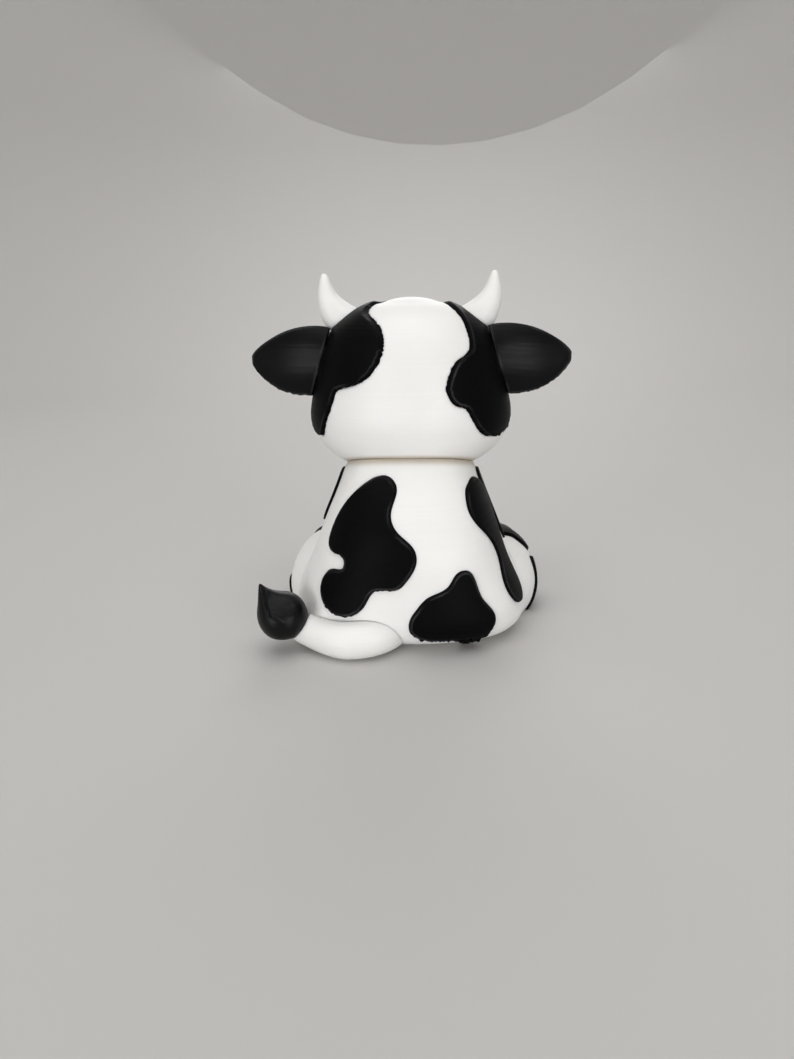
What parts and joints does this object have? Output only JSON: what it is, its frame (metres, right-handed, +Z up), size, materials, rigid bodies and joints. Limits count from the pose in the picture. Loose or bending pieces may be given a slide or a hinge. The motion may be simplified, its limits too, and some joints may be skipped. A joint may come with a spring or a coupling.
{
  "type": "cow figurine",
  "caption": "Seated cow ornament, printed in warm white and black: torso, head, legs, horns and tail with black patches, ears, hooves and tail tuft pressed into pockets",
  "frame": {"origin": "on the resting face, under the middle of the figure's box", "axes": "+Z up, the cow faces -Y, the cow's left side is +X"},
  "size_m": [0.0556, 0.0527, 0.0601],
  "materials": {
    "white_print": "warm white printed plastic, satin, with fine level layer lines",
    "black_print": "black printed plastic, satin, with fine level layer lines"
  },
  "bodies": {
    "root": {"torso": "white_print", "neck_peg": "white_print", "head": "white_print", "left_horn": "white_print", "right_horn": "white_print", "muzzle": "white_print", "tail": "white_print", "left_hind_leg": "white_print", "right_hind_leg": "white_print", "left_front_leg": "white_print", "right_front_leg": "white_print", "big_back_patch": "black_print", "lower_back_patch": "black_print", "long_back_patch": "black_print", "left_flank_patch": "black_print", "right_side_patch": "black_print", "left_head_patch": "black_print", "right_head_patch": "black_print", "left_eye": "black_print", "right_eye": "black_print", "left_ear": "black_print", "right_ear": "black_print", "left_nostril": "black_print", "right_nostril": "black_print", "tail_tuft": "black_print", "left_haunch_patch": "black_print", "left_knee_patch": "black_print", "right_hip_patch": "black_print", "right_knee_patch": "black_print", "left_hind_hoof": "black_print", "right_hind_hoof": "black_print", "left_front_hoof": "black_print", "right_front_hoof": "black_print"}
  },
  "joints": []
}
